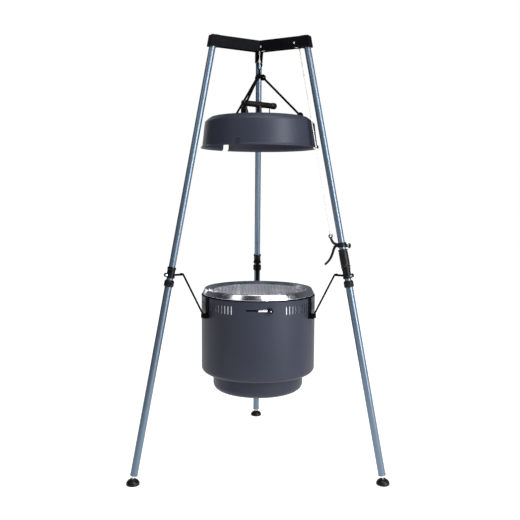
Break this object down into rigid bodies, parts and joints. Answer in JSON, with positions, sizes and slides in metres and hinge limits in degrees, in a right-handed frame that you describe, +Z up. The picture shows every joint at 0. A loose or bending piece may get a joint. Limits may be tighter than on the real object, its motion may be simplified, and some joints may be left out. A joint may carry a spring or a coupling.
{
  "type": "hanging charcoal grill on a tripod",
  "caption": "Drum-shaped charcoal grill hung between telescopic tripod legs, with a lid hoisted by a cord over pulleys in the tripod head.",
  "frame": {"origin": "on the ground, under the point where the axes of the three legs meet", "axes": "+Z up, +Y towards the rear leg, +X towards the right, hoist side; the front faces -Y"},
  "size_m": [0.7774, 0.6786, 1.3206],
  "materials": {
    "head_black": "satin powder coat",
    "bright_steel": "bright zinc plated",
    "moulded_black": "moulded, fine grain",
    "leg_blue_grey": "semi-gloss blue-grey lacquer",
    "rod_black": "satin black",
    "foot_rubber": "matt moulded rubber",
    "drum_enamel": "satin anthracite enamel",
    "chrome": "polished",
    "handle_black": "moulded heat-proof plastic",
    "pulley_nylon": "moulded nylon",
    "cord_beige": "braided cord"
  },
  "bodies": {
    "tripod": {"head_bracket": "head_black", "leg_socket_rear": "head_black", "leg_socket_left": "head_black", "leg_socket_right": "head_black", "pulley_axles": "bright_steel", "cord_guide": "moulded_black", "upper_leg_rear": "leg_blue_grey", "upper_leg_left": "leg_blue_grey", "upper_leg_right": "leg_blue_grey", "hanger_collar_rear": "moulded_black", "hanger_collar_left": "moulded_black", "hanger_collar_right": "moulded_black", "hanger_bail_rear": "rod_black", "hanger_bail_left": "rod_black", "hanger_bail_right": "rod_black", "collar_screws": "bright_steel", "grip_sleeve": "moulded_black", "hoist_cord_arm": "cord_beige", "hoist_cord_drop": "cord_beige", "hoist_cord_run": "cord_beige"},
    "lower_leg_rear": {"lower_leg_rear": "leg_blue_grey", "foot_stud_rear": "bright_steel"},
    "lock_nut_rear": {"lock_nut_rear": "moulded_black"},
    "foot_rear": {"foot_pad_rear": "foot_rubber"},
    "lower_leg_left": {"lower_leg_left": "leg_blue_grey", "foot_stud_left": "bright_steel"},
    "lock_nut_left": {"lock_nut_left": "moulded_black"},
    "foot_left": {"foot_pad_left": "foot_rubber"},
    "lower_leg_right": {"lower_leg_right": "leg_blue_grey", "foot_stud_right": "bright_steel"},
    "lock_nut_right": {"lock_nut_right": "moulded_black"},
    "foot_right": {"foot_pad_right": "foot_rubber"},
    "center_pulley": {"center_pulley": "pulley_nylon"},
    "arm_pulley": {"arm_pulley": "pulley_nylon"},
    "drum": {"drum_shell": "drum_enamel", "rim_strap_rear": "rod_black", "rim_strap_left": "rod_black", "rim_strap_right": "rod_black", "hanger_pins": "bright_steel"},
    "hanging_rod_rear": {"hanging_rod_rear": "rod_black"},
    "hanging_rod_left": {"hanging_rod_left": "rod_black"},
    "hanging_rod_right": {"hanging_rod_right": "rod_black"},
    "air_damper": {"air_ring": "chrome", "air_knob": "moulded_black"},
    "inner_bowl": {"inner_bowl": "chrome", "bowl_clips": "chrome", "charcoal_grate": "chrome"},
    "cooking_grate": {"cooking_grate": "chrome"},
    "hoist_hook": {"cord_hook": "rod_black", "gathering_ring": "rod_black"},
    "lid": {"lid_shell": "drum_enamel", "lid_rod_1": "rod_black", "lid_rod_2": "rod_black", "lid_rod_3": "rod_black", "handle_post": "handle_black", "handle_grip": "handle_black", "lid_guard": "rod_black"},
    "lid_vent": {"lid_vent": "drum_enamel"},
    "slider": {"slider_clamp": "moulded_black"},
    "clamp_knob": {"clamp_knob": "moulded_black"}
  },
  "joints": [
    {"name": "leg_extend_rear", "type": "slide", "parent": "tripod", "child": "lower_leg_rear", "axis": [0, 0.2022, -0.9793], "range_m": [0, 0.32]},
    {"name": "lock_turn_rear", "type": "hinge", "parent": "lower_leg_rear", "child": "lock_nut_rear", "pos_m": [0, 0.30639, 0.59], "axis": [0, -0.2022, 0.9793], "range_deg": [0, 90]},
    {"name": "foot_tilt_rear", "type": "hinge", "parent": "lower_leg_rear", "child": "foot_rear", "pos_m": [0, 0.42572, 0.012], "axis": [-1, 0, 0], "range_deg": [-10, 10]},
    {"name": "leg_extend_left", "type": "slide", "parent": "tripod", "child": "lower_leg_left", "axis": [-0.1751, -0.1011, -0.9793], "range_m": [0, 0.32]},
    {"name": "lock_turn_left", "type": "hinge", "parent": "lower_leg_left", "child": "lock_nut_left", "pos_m": [-0.26534, -0.1532, 0.59], "axis": [0.1751, 0.1011, 0.9793], "range_deg": [0, 90]},
    {"name": "foot_tilt_left", "type": "hinge", "parent": "lower_leg_left", "child": "foot_left", "pos_m": [-0.36869, -0.21286, 0.012], "axis": [0.5, -0.866, 0], "range_deg": [-10, 10]},
    {"name": "leg_extend_right", "type": "slide", "parent": "tripod", "child": "lower_leg_right", "axis": [0.1751, -0.1011, -0.9793], "range_m": [0, 0.32]},
    {"name": "lock_turn_right", "type": "hinge", "parent": "lower_leg_right", "child": "lock_nut_right", "pos_m": [0.26534, -0.1532, 0.59], "axis": [-0.1751, 0.1011, 0.9793], "range_deg": [0, 90]},
    {"name": "foot_tilt_right", "type": "hinge", "parent": "lower_leg_right", "child": "foot_right", "pos_m": [0.36869, -0.21286, 0.012], "axis": [0.5, 0.866, 0], "range_deg": [-10, 10]},
    {"name": "drum_lift", "type": "slide", "parent": "tripod", "child": "drum", "axis": [0, 0, -1], "range_m": [-0.035, 0]},
    {"name": "rod_swing_rear", "type": "hinge", "parent": "drum", "child": "hanging_rod_rear", "pos_m": [0, 0.193, 0.482], "axis": [-1, 0, 0], "range_deg": [-25, 0]},
    {"name": "rod_swing_left", "type": "hinge", "parent": "drum", "child": "hanging_rod_left", "pos_m": [-0.16714, -0.0965, 0.482], "axis": [0.5, -0.866, 0], "range_deg": [-25, 0]},
    {"name": "rod_swing_right", "type": "hinge", "parent": "drum", "child": "hanging_rod_right", "pos_m": [0.16714, -0.0965, 0.482], "axis": [0.5, 0.866, 0], "range_deg": [-25, 0]},
    {"name": "damper_turn", "type": "hinge", "parent": "drum", "child": "air_damper", "pos_m": [0, 0, 0.509], "axis": [0, 0, 1], "range_deg": [-17.45, 0]},
    {"name": "bowl_lift", "type": "slide", "parent": "drum", "child": "inner_bowl", "axis": [0, 0, -1], "range_m": [-0.17, 0]},
    {"name": "grate_lift", "type": "slide", "parent": "inner_bowl", "child": "cooking_grate", "axis": [0, 0, -1], "range_m": [-0.1, 0]},
    {"name": "lid_hoist", "type": "slide", "parent": "tripod", "child": "hoist_hook", "axis": [0, 0, -1], "range_m": [0, 0.44], "deforming": ["hoist_cord_drop"]},
    {"name": "slider_travel", "type": "slide", "parent": "tripod", "child": "slider", "axis": [-0.1751, 0.1011, 0.9793], "range_m": [0, 0.4435], "deforming": ["hoist_cord_run"]},
    {"name": "center_pulley_turn", "type": "hinge", "parent": "tripod", "child": "center_pulley", "pos_m": [0.00931, -0.00537, 1.301], "axis": [-0.5, -0.866, 0], "range_deg": [0, 2362]},
    {"name": "arm_pulley_turn", "type": "hinge", "parent": "tripod", "child": "arm_pulley", "pos_m": [0.10825, -0.0625, 1.301], "axis": [-0.5, -0.866, 0], "range_deg": [0, 2362]},
    {"name": "lid_swivel", "type": "hinge", "parent": "hoist_hook", "child": "lid", "pos_m": [0, 0, 1.1], "axis": [0, 0, 1], "range_deg": [-8, 18]},
    {"name": "vent_turn", "type": "hinge", "parent": "lid", "child": "lid_vent", "pos_m": [0, 0, 1.089], "axis": [0, 0, 1], "range_deg": [0, 60]},
    {"name": "knob_turn", "type": "hinge", "parent": "slider", "child": "clamp_knob", "pos_m": [0.26496, -0.14143, 0.702], "axis": [1, 0, 0], "range_deg": [0, 360]}
  ],
  "couplings": [
    {"joint": "slider_travel", "follows": "lid_hoist", "ratio": 1},
    {"joint": "center_pulley_turn", "follows": "lid_hoist", "rad_per_m": 93.023},
    {"joint": "arm_pulley_turn", "follows": "lid_hoist", "rad_per_m": 93.023}
  ]
}
